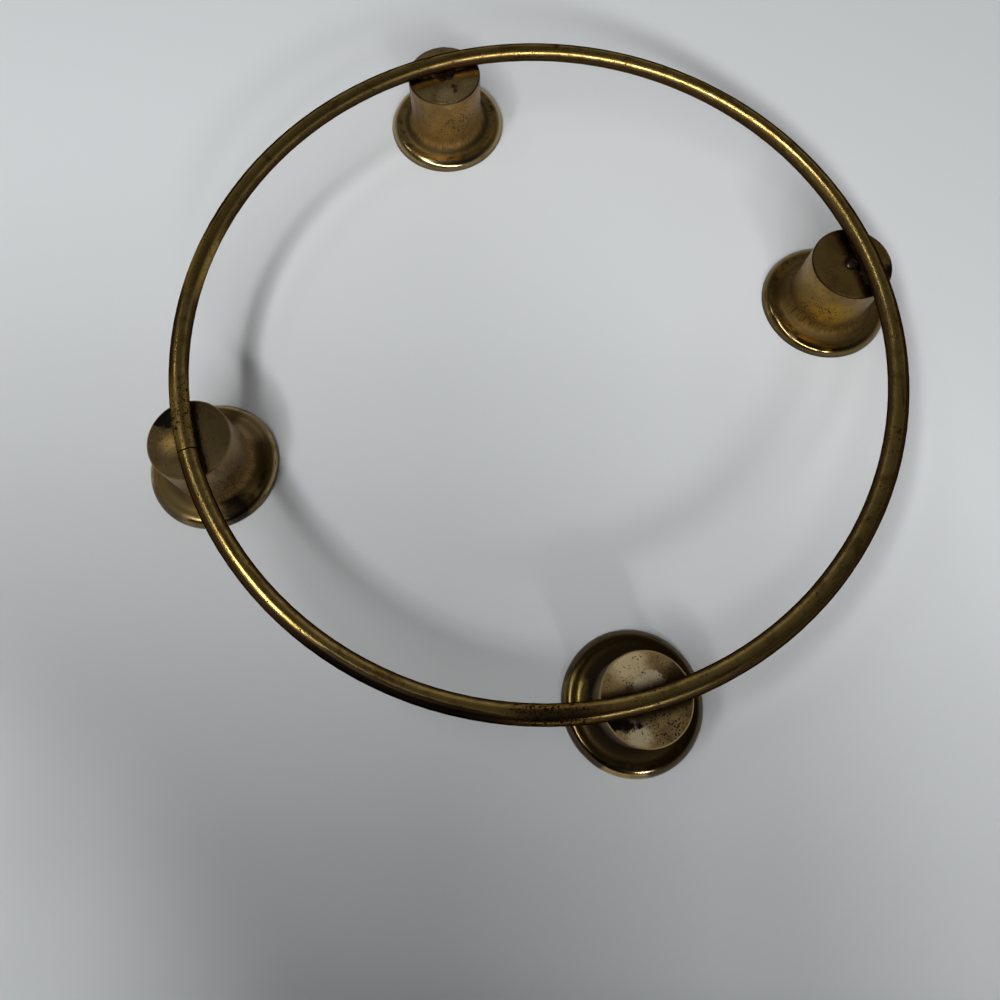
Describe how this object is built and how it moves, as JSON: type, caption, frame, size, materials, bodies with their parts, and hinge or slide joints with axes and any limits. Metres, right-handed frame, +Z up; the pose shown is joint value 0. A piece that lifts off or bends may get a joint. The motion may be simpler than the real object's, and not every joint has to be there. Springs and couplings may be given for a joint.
{
  "type": "advent candle holder",
  "caption": "Ring of round brass rod carrying soldered candle cups with wide wax-catching brims; lies flat on a table and holds upright candles.",
  "frame": {"origin": "centre of the ring on the surface it lies on", "axes": "+Z up, the way the candles stand; +X right and +Y back, with the cups on the diagonals between them"},
  "size_m": [0.2094, 0.2094, 0.0318],
  "materials": {
    "ring_brass": "tarnished, worn to a soft shine",
    "cup_brass": "tarnished and spotted, glossy on the brim",
    "rivet_steel": "dull, slightly rusty",
    "solder": "dull, dark with burnt flux"
  },
  "bodies": {
    "root": {"ring_hoop": "ring_brass", "candle_cup_front_right": "cup_brass", "cup_rivet_front_right": "rivet_steel", "solder_joint_front_right": "solder", "candle_cup_back_right": "cup_brass", "cup_rivet_back_right": "rivet_steel", "solder_joint_back_right": "solder", "candle_cup_back_left": "cup_brass", "cup_rivet_back_left": "rivet_steel", "solder_joint_back_left": "solder", "candle_cup_front_left": "cup_brass", "cup_rivet_front_left": "rivet_steel", "solder_joint_front_left": "solder"}
  },
  "joints": []
}
